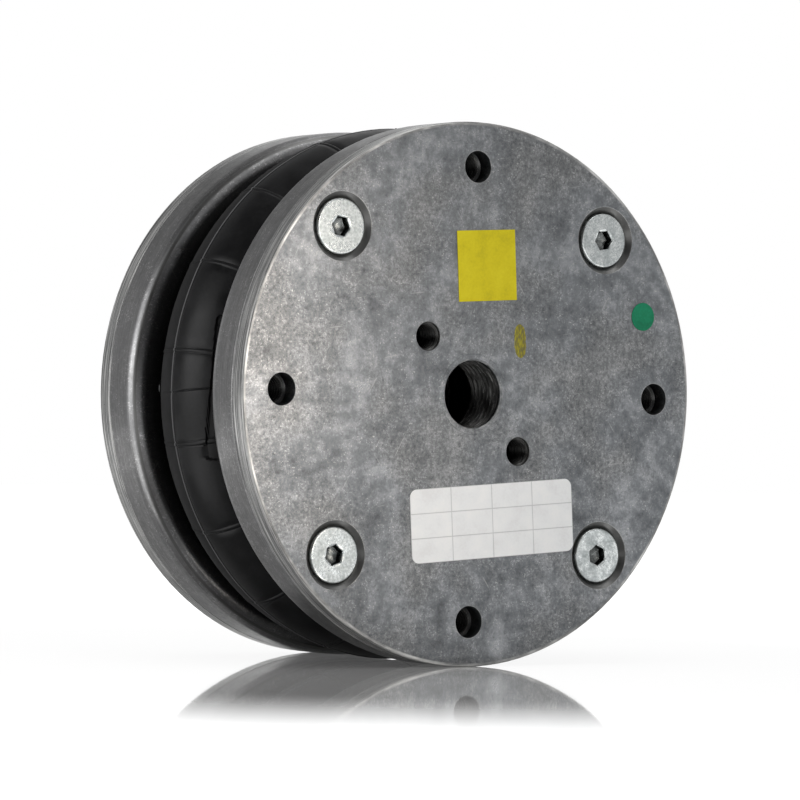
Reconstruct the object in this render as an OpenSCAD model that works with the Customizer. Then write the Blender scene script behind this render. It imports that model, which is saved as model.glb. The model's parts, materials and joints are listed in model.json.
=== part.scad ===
// Single-convolution air bellows actuator, lying on its side.
// A rubber bellows is clamped at each end between a cast end plate and a bead ring.
// The origin is the centre of the port plate's mounting face. +Y runs along the axis into the
// bellows, +X is right and +Z is up as seen from the port side. Lengths are in millimetres.

/* [Overall] */
// Height over the two mounting faces with no air inside
rest_height = 76; // [72:1:100]
// Outside diameter of the end plates and bead rings
flange_d = 152; // [140:1:180]

/* [End plates] */
// Thickness of an end plate at its rim
plate_t = 5.2; // [4.6:0.1:8]
// Chamfer round the mounting faces
edge_chamfer = 0.4; // [0.2:0.1:1.2]
// Chamfer on both sides of the joint between plate and ring
joint_chamfer = 0.4; // [0.2:0.1:1.2]
// Height of the register that centres a plate in the bellows
register_h = 4; // [2:0.5:8]
// Radial width of the register
register_w = 7; // [4:0.5:12]
// Draft of the cast walls inside, in degrees
cast_draft = 2; // [0:0.5:5]

/* [Bolting] */
// Distance from the rim to the circle that bolts and clamp screws share
bolt_margin = 12.5; // [11.5:0.5:15]
// Number of mounting bolts in each end, with a clamp screw between each pair
bolt_count = 4; // [3:1:6]
// Diameter of the plain mounting holes in the plates
bolt_hole_d = 9; // [8.4:0.1:10]

/* [Air port] */
// Major diameter of the port's pipe thread
port_d = 20.955; // [13.157:0.001:22.911]
// Chamfer at the mouth of the port
port_chamfer = 0.8; // [0.2:0.1:1.5]
// Diameter of the boss behind the port
boss_d = 34; // [30:1:38]
// Depth of the boss from the mounting face
boss_depth = 16; // [12:1:20]
// Major diameter of the two tapped holes beside the port
tie_d = 8; // [5:1:10]
// Distance between the two tapped holes
tie_spacing = 44.5; // [40:0.5:52]
// Depth of the tapped holes
tie_depth = 11; // [8:0.5:14]
// Chamfer at the mouth of the tapped holes
tie_chamfer = 0.5; // [0.2:0.1:1]
// Wall left round and under a tapped hole
tie_wall = 3.5; // [2:0.5:5]

/* [Bead rings] */
// Thickness of a bead ring
ring_t = 13; // [11:0.5:16]
// Metal left between the bead groove and the tapped holes
groove_wall = 3.8; // [2:0.1:6]
// Radius of the ring's outer corner on the bellows side
ring_corner_r = 4.2; // [1:0.1:6]

/* [Clamp screws] */
// Thread diameter of the countersunk screws
screw_d = 8; // [6:1:8]
// Distance from a screw's end to the far face of the ring
screw_end_gap = 1.6; // [0.3:0.1:3]
// Diameter of the countersunk head
head_d = 15.5; // [14:0.5:18]
// Height of the straight edge of the head
head_land = 1.2; // [0.2:0.1:1.6]
// Depth of the head below the mounting face
head_sink = 0.6; // [0.3:0.1:2]
// Chamfer on a screw's end and at the mouth of a ring's tapped holes
tip_chamfer = 0.7; // [0.3:0.1:1]
// Hexagon socket, across the flats
socket_af = 5; // [4:1:6]
// Depth of the hexagon socket
socket_depth = 3; // [2:0.25:3.5]

/* [Bellows] */
// Distance from the rim of the plates in to the middle of the bulge at rest
bulge_inset = 0.3; // [0:0.1:5]
// Radius at which the wall turns outwards over the ring's lip
lip_r = 5; // [3:0.5:7]
// Thickness of the outer rubber cover
cover_t = 1.2; // [0.8:0.1:1.8]
// Thickness of each fabric ply
ply_t = 0.5; // [0.3:0.05:0.8]
// Thickness of the airtight inner liner
liner_t = 1.2; // [0.8:0.1:1.8]
// Diameter of the steel wire in each bead
wire_d = 3; // [2:0.25:4]
// Rubber above the bead wire
crown_t = 0.5; // [0.3:0.1:1]
// Depth of the blank moulded pocket on the port-side flank
pocket_depth = 0.7; // [0.2:0.1:0.7]
// Width of the pocket, up the flank
pocket_w = 10; // [6:0.5:12]
// Length of the pocket, round the axis
pocket_l = 40; // [20:1:44]
// Corner radius of the pocket
pocket_r = 1.5; // [0.5:0.1:2.5]
// Where the middle of the pocket lies on the flank, in degrees from the middle of the bulge
pocket_slope = 54; // [48:1:60]
// Where the middle of the pocket lies, anticlockwise from the right, in degrees
pocket_at = 180; // [0:1:359]
// Turn of the pocket on the flank, in degrees
pocket_turn = 3.7; // [-10:0.1:10]

/* [Labels] */
// Thickness of labels and paint
label_t = 0.15; // [0.1:0.05:0.2]
// Width and height of the white label
rating_size = [55.5, 20.6]; // [10:0.1:60]
// Centre of the white label
rating_at = [7.4, -35.2]; // [-60:0.1:60]
// Turn of the white label in degrees
rating_turn = 4; // [-10:0.5:10]
// Corner radius of the white label
rating_r = 2.5; // [0.5:0.1:5]
// Side of the square label
square_side = 19.8; // [10:0.1:24]
// Centre of the square label
square_at = [3.7, 36.1]; // [-60:0.1:60]
// Turn of the square label in degrees
square_turn = 3.5; // [-10:0.5:10]
// Diameter of the round sticker
dot_d = 8; // [4:0.5:10]
// Where the round sticker lies on the bolt circle, anticlockwise from the right, in degrees
dot_angle = 21.8; // [0:0.1:360]
// Width and length of the paint mark
paint_size = [4.2, 9.6]; // [2:0.1:14]
// Corner radius of the paint mark
paint_r = 1.8; // [0.5:0.1:1.9]
// Centre of the paint mark
paint_at = [15.7, 15.3]; // [-60:0.1:60]

/* [Hidden] */
$fn = 96;

// Radial play between the bead and the metal round it
bead_gap = 0.25;
// Play between the register and the bellows
register_gap = 0.3;
// Play between a countersunk head and its seat
seat_gap = 0.05;
// Play between a screw and its tapped hole
thread_gap = 0.05;
// Play between a screw and its hole in the plate
shank_gap = 0.2;
// Bond line between the layers of the bellows wall
bond_gap = 0.02;
// Length by which a cutter runs past the face that it opens
past = 1;
// Length of the cutter that outlines the pocket, half of it on either side of the flank
pocket_reach = 16;
// Angle between the points of a curved profile
arc_step = 7.5;
// Colours of the materials
cast_grey = [0.62, 0.61, 0.59];
ring_grey = [0.42, 0.42, 0.41];
zinc = [0.80, 0.82, 0.82];
rubber = [0.07, 0.07, 0.075];
ply_tan = [0.55, 0.47, 0.34];
liner_black = [0.12, 0.12, 0.12];
bead_steel = [0.45, 0.42, 0.38];

flange_r = flange_d / 2;
stack_t = plate_t + ring_t;
mid_z = rest_height / 2;
bolt_r = flange_r - bolt_margin;
bolt_step = 360 / bolt_count;

// Screws, countersinks and tapped holes
screw_len = stack_t - head_sink - screw_end_gap;
sink_d = head_d + 2 * (head_sink + head_land + seat_gap);
shank_hole_d = screw_d + 2 * shank_gap;
tapped_d = screw_d + 2 * thread_gap;
lead_d = max(tapped_d + 2 * tip_chamfer, sink_d - 2 * plate_t);

// Bellows wall, from the bead groove inwards
wall = cover_t + 2 * ply_t + liner_t;
wire_r = wire_d / 2;
groove_r = bolt_r - tapped_d / 2 - groove_wall;
bead_out_r = groove_r - bead_gap;
bead_c = [bead_out_r - wall - wire_r, plate_t + bead_gap + wall + wire_r];
crown_z = bead_c.y + wire_r + crown_t;
groove_z = crown_z + bead_gap;
throat_r = bead_c.x - wire_r;
lip_c = [throat_r + lip_r, stack_t + bead_gap - lip_r];
bulge_r = flange_r - bulge_inset - lip_c.x;
bulge_h = mid_z - stack_t - bead_gap;
register_r = throat_r - wall - register_gap;

// Places a piece of the port end: local x is right, y is up and z runs from the mounting face inwards
module port_end() {
    rotate([90, 0, 0]) mirror([0, 0, 1]) children();
}

// The same for the blank end, which faces the other way
module blank_end() {
    translate([0, rest_height, 0]) rotate([90, 0, 0]) children();
}

// Repeats its children round the bolt circle, starting at an angle
module round_circle(count, start) {
    for (i = [0 : count - 1]) {
        rotate([0, 0, start + i * 360 / count]) translate([bolt_r, 0, 0]) children();
    }
}

// Layer profile

// Quarter ellipse of the bulge, at a depth below the outer surface
function bulge_arc(d, from, to) = [
    for (i = [0 : 1 : ceil((from - to) / arc_step)])
        let (a = max(to, from - i * arc_step))
        [lip_c.x + (bulge_r - d) * cos(a), mid_z - (bulge_h - d) * sin(a)]
];

// Turn of the wall over the ring's lip, at a depth below the outer surface
function lip_arc(d) = [
    for (a = [180 : -arc_step : 90 + arc_step]) lip_c + (lip_r + d) * [cos(a), sin(a)]
];

// Turn-up round the bead wire, at a depth below the outer surface
function bead_arc(d) = [
    for (a = [0 : -arc_step : -180]) bead_c + (wire_r + d) * [cos(a), sin(a)]
];

function inner_half(d) = concat(bead_arc(d), lip_arc(d), bulge_arc(d, 90, 0));

// The cover's outer surface starts at the crown of the bead instead
function cover_half() = concat(
    [[bead_out_r, bead_c.y], [bead_out_r, crown_z], [throat_r, min(crown_z, lip_c.y)]],
    lip_arc(0),
    bulge_arc(0, 90, 0)
);

// Adds the other half of a profile, mirrored about the middle of the bellows
function both_halves(half) = concat(
    half,
    [for (i = [len(half) - 2 : -1 : 0]) [half[i].x, 2 * mid_z - half[i].y]]
);

function reversed(list) = [for (i = [len(list) - 1 : -1 : 0]) list[i]];

// One layer of the wall between an outer profile and a depth
module layer(outer_half, inner_d) {
    rotate_extrude() polygon(concat(both_halves(outer_half), reversed(both_halves(inner_half(inner_d)))));
}

module bead_wire(r) {
    rotate_extrude() translate(bead_c) circle(r, $fn = 48);
}

// Metal parts

// Cast disc with chamfered edges and a register ring behind it
module plate_casting() {
    slope = register_h * tan(cast_draft);
    rotate_extrude() polygon([
        [0, 0],
        [flange_r - edge_chamfer, 0],
        [flange_r, edge_chamfer],
        [flange_r, plate_t - joint_chamfer],
        [flange_r - joint_chamfer, plate_t],
        [register_r, plate_t],
        [register_r - slope, plate_t + register_h],
        [register_r - register_w + slope, plate_t + register_h],
        [register_r - register_w, plate_t],
        [0, plate_t]
    ]);
}

// Mounting holes and countersinks of a plate
module plate_holes() {
    round_circle(bolt_count, 0) translate([0, 0, -past]) cylinder(d = bolt_hole_d, h = plate_t + 2 * past);
    round_circle(bolt_count, bolt_step / 2) {
        translate([0, 0, -past]) cylinder(d = shank_hole_d, h = plate_t + 2 * past);
        translate([0, 0, -past])
            cylinder(d1 = sink_d + 2 * past, d2 = shank_hole_d, h = past + (sink_d - shank_hole_d) / 2);
    }
}

// Plain bore with a chamfered mouth at the mounting face
module tapped_bore(d, depth, chamfer) {
    translate([0, 0, -past]) cylinder(d = d, h = depth + past);
    translate([0, 0, -past]) cylinder(d1 = d + 2 * (chamfer + past), d2 = d, h = chamfer + past);
}

// Cast boss that tapers with the draft
module boss(d, depth) {
    cylinder(d1 = d, d2 = d - 2 * depth * tan(cast_draft), h = depth);
}

// Tapped holes beside the port, upper left and lower right
module tie_places() {
    for (side = [0, 1]) {
        rotate([0, 0, 135 + 180 * side]) translate([tie_spacing / 2, 0, 0]) children();
    }
}

module port_plate() {
    color(cast_grey) port_end() difference() {
        union() {
            plate_casting();
            boss(boss_d, boss_depth);
            tie_places() boss(tie_d + 2 * tie_wall, tie_depth + tie_wall);
        }
        plate_holes();
        tapped_bore(port_d, boss_depth + past, port_chamfer);
        tie_places() tapped_bore(tie_d, tie_depth, tie_chamfer);
    }
}

module blank_plate() {
    color(cast_grey) blank_end() difference() {
        plate_casting();
        plate_holes();
    }
}

// Ring section: a square with the bead groove, a rounded lip in the throat and a rounded outer corner
module ring_section() {
    difference() {
        translate([throat_r + bead_gap, plate_t]) square([flange_r - throat_r - bead_gap, ring_t]);
        translate([0, plate_t - past]) square([groove_r, groove_z - plate_t + past]);
        difference() {
            translate([throat_r, lip_c.y]) square([lip_r, lip_r + past]);
            translate(lip_c) circle(lip_r - bead_gap);
        }
        difference() {
            translate([flange_r - ring_corner_r, stack_t - ring_corner_r]) square(ring_corner_r + past);
            translate([flange_r - ring_corner_r, stack_t - ring_corner_r]) circle(ring_corner_r);
        }
        translate([flange_r, plate_t]) rotate(45) square(joint_chamfer * sqrt(2), center = true);
    }
}

module bead_ring() {
    difference() {
        rotate_extrude() ring_section();
        round_circle(2 * bolt_count, 0) {
            translate([0, 0, plate_t - past]) cylinder(d = tapped_d, h = ring_t + 2 * past);
            translate([0, 0, plate_t - past])
                cylinder(d1 = lead_d + 2 * past, d2 = tapped_d, h = past + (lead_d - tapped_d) / 2);
        }
    }
}

module port_ring() {
    color(ring_grey) port_end() bead_ring();
}

module blank_ring() {
    color(ring_grey) blank_end() bead_ring();
}

// Countersunk screw with a hexagon socket, its head's top at z = 0
module clamp_screw() {
    cone_h = (head_d - screw_d) / 2;
    difference() {
        union() {
            cylinder(d = head_d, h = head_land);
            translate([0, 0, head_land]) cylinder(d1 = head_d, d2 = screw_d, h = cone_h);
            cylinder(d = screw_d, h = screw_len - tip_chamfer);
            translate([0, 0, screw_len - tip_chamfer])
                cylinder(d1 = screw_d, d2 = screw_d - 2 * tip_chamfer, h = tip_chamfer);
        }
        translate([0, 0, -past]) cylinder(d = socket_af / cos(30), h = socket_depth + past, $fn = 6);
    }
}

module screw_set() {
    round_circle(bolt_count, bolt_step / 2) translate([0, 0, head_sink]) clamp_screw();
}

module port_screws() {
    color(zinc) port_end() screw_set();
}

module blank_screws() {
    color(zinc) blank_end() screw_set();
}

// Bellows layers, from the outside in

// Cutter for the blank pocket: the wall's outer skin inside a prism that stands square on the flank
module flank_pocket() {
    facing = atan2(sin(pocket_slope) / bulge_h, cos(pocket_slope) / bulge_r);
    intersection() {
        rotate_extrude() polygon(concat(bulge_arc(-past, 90, 0), reversed(bulge_arc(pocket_depth, 90, 0))));
        rotate([0, 0, pocket_at])
            translate([lip_c.x + bulge_r * cos(pocket_slope), 0, mid_z - bulge_h * sin(pocket_slope)])
            rotate([0, 90 + facing, 0]) rotate([0, 0, pocket_turn]) translate([0, 0, -pocket_reach / 2])
            linear_extrude(pocket_reach) rounded_rect([pocket_w, pocket_l], pocket_r);
    }
}

module bellows_cover() {
    color(rubber) port_end() difference() {
        layer(cover_half(), cover_t);
        flank_pocket();
        bead_wire(wire_r + bond_gap);
        translate([0, 0, rest_height]) mirror([0, 0, 1]) bead_wire(wire_r + bond_gap);
    }
}

module outer_ply() {
    color(ply_tan) port_end() layer(inner_half(cover_t + bond_gap), cover_t + ply_t);
}

module inner_ply() {
    color(ply_tan) port_end() layer(inner_half(cover_t + ply_t + bond_gap), cover_t + 2 * ply_t);
}

module liner() {
    color(liner_black) port_end() layer(inner_half(cover_t + 2 * ply_t + bond_gap), wall);
}

module port_bead_wire() {
    color(bead_steel) port_end() bead_wire(wire_r);
}

module blank_bead_wire() {
    color(bead_steel) blank_end() bead_wire(wire_r);
}

// Labels on the port plate

// Puts a thin flat shape on the mounting face
module on_face(at, turn) {
    port_end() translate([at.x, at.y, -label_t]) rotate([0, 0, turn]) linear_extrude(label_t) children();
}

module rounded_rect(size, r) {
    square([size.x - 2 * r, size.y], center = true);
    square([size.x, size.y - 2 * r], center = true);
    for (x = [-1, 1], y = [-1, 1]) {
        translate([x * (size.x / 2 - r), y * (size.y / 2 - r)]) circle(r);
    }
}

module rating_label() {
    color("whitesmoke") on_face(rating_at, rating_turn) rounded_rect(rating_size, rating_r);
}

module square_label() {
    color("gold") on_face(square_at, square_turn) square(square_side, center = true);
}

module round_sticker() {
    color("seagreen") on_face(bolt_r * [cos(dot_angle), sin(dot_angle)], 0) circle(d = dot_d);
}

module paint_mark() {
    color("yellowgreen") on_face(paint_at, 0) rounded_rect(paint_size, paint_r);
}

port_plate();
blank_plate();
port_ring();
blank_ring();
port_screws();
blank_screws();
bellows_cover();
outer_ply();
inner_ply();
liner();
port_bead_wire();
blank_bead_wire();
rating_label();
square_label();
round_sticker();
paint_mark();
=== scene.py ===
"""Looks of a single-convolution air bellows actuator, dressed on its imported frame.

Lengths are in metres, in the frame of the model. The origin is the centre of the port plate's
mounting face, +Y runs along the axis to the blank plate, +X is right and +Z is up as seen from
the port side. The actuator lies on its side, as in the photograph.
"""

import json
import logging
import math
from dataclasses import dataclass, field
from enum import Enum
from typing import Any, Sequence

import bmesh
import bpy
import numpy as np
from mathutils import Matrix, Vector


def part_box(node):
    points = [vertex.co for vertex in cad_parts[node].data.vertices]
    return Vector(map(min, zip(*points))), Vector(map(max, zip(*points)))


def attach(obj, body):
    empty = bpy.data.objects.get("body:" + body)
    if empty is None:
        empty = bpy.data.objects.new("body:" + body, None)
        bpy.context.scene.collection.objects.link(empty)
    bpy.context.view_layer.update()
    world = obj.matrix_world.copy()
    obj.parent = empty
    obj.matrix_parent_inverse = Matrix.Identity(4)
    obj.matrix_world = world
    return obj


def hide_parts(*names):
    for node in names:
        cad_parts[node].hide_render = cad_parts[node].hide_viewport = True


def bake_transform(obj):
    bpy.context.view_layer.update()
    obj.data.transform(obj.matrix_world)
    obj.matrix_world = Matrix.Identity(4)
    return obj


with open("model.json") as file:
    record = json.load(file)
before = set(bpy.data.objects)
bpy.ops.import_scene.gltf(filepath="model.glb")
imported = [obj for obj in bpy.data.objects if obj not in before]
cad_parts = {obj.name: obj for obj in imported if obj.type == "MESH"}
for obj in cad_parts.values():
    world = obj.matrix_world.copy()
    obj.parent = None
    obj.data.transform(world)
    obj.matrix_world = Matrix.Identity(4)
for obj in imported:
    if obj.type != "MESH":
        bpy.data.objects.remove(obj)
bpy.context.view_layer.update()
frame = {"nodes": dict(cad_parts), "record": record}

log = logging.getLogger("air_bellows")

MM = 0.001
Array = np.ndarray
Colour = tuple[float, float, float, float]
Place = tuple[float, float, float]
Rise = tuple[float, float, float]
Socket = bpy.types.NodeSocket
Inputs = dict[int | str, Any]


def linear(code: str) -> Colour:
    """Turns an sRGB hex value into a linear colour.

    Args:
        code: Colour as "#rrggbb".

    Returns:
        Linear red, green and blue with an alpha of 1.
    """
    srgb = np.array([int(code[at:at + 2], 16) for at in (1, 3, 5)]) / 255
    rgb = np.where(srgb <= 0.04045, srgb / 12.92, ((srgb + 0.055) / 1.055) ** 2.4)
    return (float(rgb[0]), float(rgb[1]), float(rgb[2]), 1.0)


def per_mm(size: float) -> float:
    """Texture scale, in cycles per metre, of a pattern whose features are size millimetres wide."""
    return 1 / (size * MM)


class End(Enum):
    """An end of the actuator, by the name of its body."""

    PORT = "port_end"
    BLANK = "blank_end"

    def node(self, piece: str) -> str:
        """Name of this end's copy of a piece, such as port_ring."""
        return self.value.replace("end", piece)


@dataclass(frozen=True)
class FrameSizes:
    """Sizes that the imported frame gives."""

    flange_r: float
    height: float
    plate_t: float
    stack_t: float
    bulge_r: float
    bolt_r: float
    bolt_count: int
    head_top: float
    head_r: float
    screw_end: float
    bead_r: float
    bead_z: float
    wire_r: float
    port_r: float
    tie_r: float
    tie_at: float

    @classmethod
    def measured(cls) -> "FrameSizes":
        """Reads the sizes from the boxes of the nodes and from the mounts of the record.

        Returns:
            The sizes in metres.
        """
        mounts = {mount["name"]: mount for mount in frame["record"]["mounts"]}
        ring_low, ring_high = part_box("port_ring")
        screws_low, screws_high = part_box("port_screws")
        wire_low, wire_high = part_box("port_bead_wire")
        bolts = mounts["port_bolts"]["dims"]
        wire_r = (wire_high.y - wire_low.y) / 2
        bolt_r = bolts["pcd_mm"] * MM / 2
        screw_across = bolt_r * math.cos(math.pi / bolts["count"])
        return cls(
            flange_r=ring_high.x,
            height=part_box("blank_plate")[1].y,
            plate_t=ring_low.y,
            stack_t=ring_high.y,
            bulge_r=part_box("bellows_cover")[1].x,
            bolt_r=bolt_r,
            bolt_count=bolts["count"],
            head_top=screws_low.y,
            head_r=screws_high.x - screw_across,
            screw_end=screws_high.y,
            bead_r=wire_high.x - wire_r,
            bead_z=(wire_low.y + wire_high.y) / 2,
            wire_r=wire_r,
            port_r=mounts["air_port"]["dims"]["r_mm"] * MM,
            tie_r=mounts["tie_holes"]["dims"]["hole_r_mm"] * MM,
            tie_at=mounts["tie_holes"]["dims"]["pcd_mm"] * MM / 2,
        )

    def along(self, end: End, depth: Array) -> Array:
        """Place along the axis of a depth below an end's mounting face."""
        return depth if end is End.PORT else self.height - depth


SIZES = FrameSizes.measured()


@dataclass
class Skin:
    """A surface as an array of points and an array of quads."""

    points: Array
    quads: Array

    @classmethod
    def closed(cls, x: Array, y: Array, z: Array, loop: bool = True) -> "Skin":
        """Joins a grid of points into a closed skin.

        The columns always close round. The rows close round too, as on a torus, or each end row
        is a pole whose points all lie together.

        Args:
            x: Places along X, with one row for each step of the section.
            y: Places along Y, on the same grid.
            z: Places along Z, on the same grid.
            loop: Whether the last row joins the first.

        Returns:
            The skin with its faces turned outwards.
        """
        points = np.stack(np.broadcast_arrays(x, y, z), axis=-1)
        rows, columns = points.shape[:2]
        row = np.arange(rows if loop else rows - 1)[:, None]
        column = np.arange(columns)[None, :]
        next_row = (row + 1) % rows
        next_column = (column + 1) % columns
        corners = (
            row * columns + column,
            row * columns + next_column,
            next_row * columns + next_column,
            next_row * columns + column,
        )
        quads = np.stack(np.broadcast_arrays(*corners), axis=-1).reshape(-1, 4)
        return cls(points.reshape(-1, 3), quads).turned()

    @classmethod
    def round_axis(
        cls, radius: Array, y: Array, angle: Array, at: tuple[float, float] = (0.0, 0.0), loop: bool = True
    ) -> "Skin":
        """Joins points round an axis that runs along Y into a closed skin.

        Args:
            radius: Distances from the axis, with one row for each step of the section.
            y: Places along the axis, on the same grid or as a column.
            angle: Angles round the axis, as a row.
            at: Place of the axis along X and Z.
            loop: Whether the last row joins the first.

        Returns:
            The skin with its faces turned outwards.
        """
        across, up = at
        return cls.closed(across + radius * np.cos(angle), y, up + radius * np.sin(angle), loop)

    def turned(self, outwards: bool = True) -> "Skin":
        """Turns all faces outwards, or inwards for a cavity, by the sign of the volume they enclose.

        The volume is a sixth of the sum of a · (b × c + c × d) over all quads a, b, c, d.

        Args:
            outwards: Whether the faces are to point outwards.

        Returns:
            The same skin.
        """
        a, b, c, d = (self.points[self.quads[:, corner]] for corner in range(4))
        volume = np.einsum("ij,ij->", a, np.cross(b, c) + np.cross(c, d))
        if (volume > 0) != outwards:
            self.quads = self.quads[:, ::-1]
        return self

    def build(self, name: str, sharp: float = 35) -> bpy.types.Object:
        """Makes a mesh object, with doubles merged and edges over an angle kept sharp.

        Args:
            name: Name of the object.
            sharp: Angle between two faces, in degrees, over which their edge stays sharp.

        Returns:
            The object, linked to the scene.
        """
        mesh = bpy.data.meshes.new(name)
        mesh.from_pydata(self.points, [], self.quads)
        merged = bmesh.new()
        merged.from_mesh(mesh)
        bmesh.ops.remove_doubles(merged, verts=merged.verts, dist=0.5e-6)
        bmesh.ops.dissolve_degenerate(merged, edges=merged.edges, dist=0.5e-6)
        merged.to_mesh(mesh)
        merged.free()
        mesh.polygons.foreach_set("use_smooth", np.ones(len(mesh.polygons), dtype=bool))
        mesh.set_sharp_from_angle(angle=math.radians(sharp))
        piece = bpy.data.objects.new(name, mesh)
        bpy.context.scene.collection.objects.link(piece)
        return piece


def joined(skins: Sequence[Skin]) -> Skin:
    """Puts several skins into one, with the quads of each counted on from those before it.

    Args:
        skins: Skins that don't touch one another.

    Returns:
        One skin of them all.
    """
    starts = np.cumsum([0] + [len(skin.points) for skin in skins[:-1]])
    quads = [skin.quads + start for skin, start in zip(skins, starts)]
    return Skin(np.concatenate([skin.points for skin in skins]), np.concatenate(quads))


def around(columns: int) -> Array:
    """Angles of equal steps round an axis, as a row."""
    return np.linspace(0, 2 * np.pi, columns, endpoint=False)[None, :]


def on_circle(radius: float, degrees: Sequence[float]) -> list[tuple[float, float]]:
    """Places at angles on a circle round the axis, anticlockwise from the right."""
    return [(radius * math.cos(math.radians(a)), radius * math.sin(math.radians(a))) for a in degrees]


def thread_ridge(turns: Array, stretch: float = 1.3) -> Array:
    """Height of a V thread, from 0 in the root to 1 on the crest.

    A triangle wave of the turns' fraction is stretched about its middle and cut off at 0 and 1,
    which leaves a narrow flat in the root and on the crest.

    Args:
        turns: Numbers of turns along the thread.
        stretch: How far the wave is stretched.

    Returns:
        Heights on the same grid.
    """
    wave = 2 * np.abs(turns - np.floor(turns) - 0.5)
    return np.clip((wave - 0.5) * stretch + 0.5, 0, 1)


# Materials


class Graph:
    """The node tree of one material."""

    def __init__(self, tree: bpy.types.NodeTree) -> None:
        """Keeps the tree that nodes are added to."""
        self.tree = tree

    def add(
        self,
        kind: str,
        inputs: Inputs | None = None,
        out: int | str = 0,
        stops: Sequence[tuple[float, str]] = (),
        **settings: Any,
    ) -> Socket | None:
        """Adds a node with its settings and links.

        Args:
            kind: Type of node without its ShaderNode prefix.
            inputs: Sockets or plain values, by the input's name or number.
            out: Name or number of the output to hand back.
            stops: Places and hex colours of a colour ramp.
            settings: Properties of the node.

        Returns:
            The output socket, or None where the node has none.
        """
        node = self.tree.nodes.new("ShaderNode" + kind)
        for name, value in settings.items():
            setattr(node, name, value)
        for key, value in (inputs or {}).items():
            if isinstance(value, Socket):
                self.tree.links.new(value, node.inputs[key])
            else:
                node.inputs[key].default_value = value
        for at, (place, code) in enumerate(stops):
            elements = node.color_ramp.elements
            stop = elements[at] if at < len(elements) else elements.new(place)
            stop.position = place
            stop.color = linear(code)
        return node.outputs[out] if len(node.outputs) else None


def rising(value: Socket, rise: Rise, low: float = 0.0) -> Inputs:
    """Inputs of a map range that comes up between two levels of a value.

    Args:
        value: Value that is mapped.
        rise: Level where it begins, level where it is full, and what it then gives.
        low: What it gives before it begins.

    Returns:
        Inputs by name or number.
    """
    begins, full, top = rise
    return {"Value": value, 1: begins, 2: full, 3: low, 4: top}


def grains(place: Socket, size: float, detail: float, roughness: float = 0.5) -> Inputs:
    """Inputs of a noise.

    Args:
        place: Coordinates that the noise reads.
        size: Width of its features in millimetres.
        detail: Number of finer octaves.
        roughness: Share that each finer octave adds.

    Returns:
        Inputs by name.
    """
    return {"Vector": place, "Scale": per_mm(size), "Detail": detail, "Roughness": roughness}


@dataclass(frozen=True)
class Finish:
    """A finish of one material: its three tones and the constants of its shader.

    Widths and depths of features are in millimetres, places and radii in metres. A rise holds two
    levels of a value between which a mark comes up, and how strong it then is.
    """

    name: str
    dark: str
    middle: str
    pale: str
    metallic: float = 0.0
    roughness: tuple[float, float] = (0.4, 0.6)
    ior: float = 1.5
    specular: float = 0.5
    relief: float = 0.01

    def material(self) -> bpy.types.Material:
        """Makes the material, or finds the one that was made before.

        Returns:
            The only material of this name.
        """
        made = bpy.data.materials.get(self.name)
        if made:
            return made
        made = bpy.data.materials.new(self.name)
        made.use_nodes = True
        shader = made.node_tree.nodes["Principled BSDF"]
        shader.inputs["Metallic"].default_value = self.metallic
        shader.inputs["IOR"].default_value = self.ior
        shader.inputs["Specular IOR Level"].default_value = self.specular
        self.paint(Graph(made.node_tree), shader)
        return made

    def paint(self, graph: Graph, shader: bpy.types.Node) -> None:
        """Adds the nodes that give the surface its tones, its roughness and its relief.

        Args:
            graph: Tree of the material.
            shader: Shader of the material.
        """
        raise NotImplementedError

    def tones(self, *places: float) -> list[tuple[float, str]]:
        """Stops of a colour ramp, with the dark, the middle and the pale tone at three places."""
        return list(zip(places, (self.dark, self.middle, self.pale)))

    def laid(self, graph: Graph, colour: Socket, coats: Sequence[tuple[Socket, str | Socket]]) -> Socket:
        """Lays coats of colour over one another, each as far as its mask lets it show.

        Args:
            graph: Tree of the material.
            colour: Colour under the coats.
            coats: Mask of each coat and its colour, a hex value or a socket, from the lowest up.

        Returns:
            Colour of the whole.
        """
        for mask, coat in coats:
            over = linear(coat) if isinstance(coat, str) else coat
            colour = graph.add("Mix", {0: mask, 6: colour, 7: over}, out=2, data_type="RGBA")
        return colour

    def plug(
        self,
        graph: Graph,
        shader: bpy.types.Node,
        colour: Socket,
        gloss: Socket,
        height: Socket,
        normal: Socket | None = None,
    ) -> None:
        """Links tones, roughness and relief to the shader.

        Args:
            graph: Tree of the material.
            shader: Shader of the material.
            colour: Colour of the surface.
            gloss: Value that runs from 0 where it is roughest to 1 where it is smoothest.
            height: Height of the relief, from 0 to 1.
            normal: Normal that the relief is laid on, if it isn't the surface's own.
        """
        smooth, rough = self.roughness
        bump = {"Height": height, "Distance": self.relief * MM, "Strength": 1.0}
        if normal:
            bump["Normal"] = normal
        links = {
            "Base Color": colour,
            "Roughness": graph.add("MapRange", {"Value": gloss, 3: rough, 4: smooth}),
            "Normal": graph.add("Bump", bump),
        }
        for name, socket in links.items():
            graph.tree.links.new(socket, shader.inputs[name])


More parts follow.
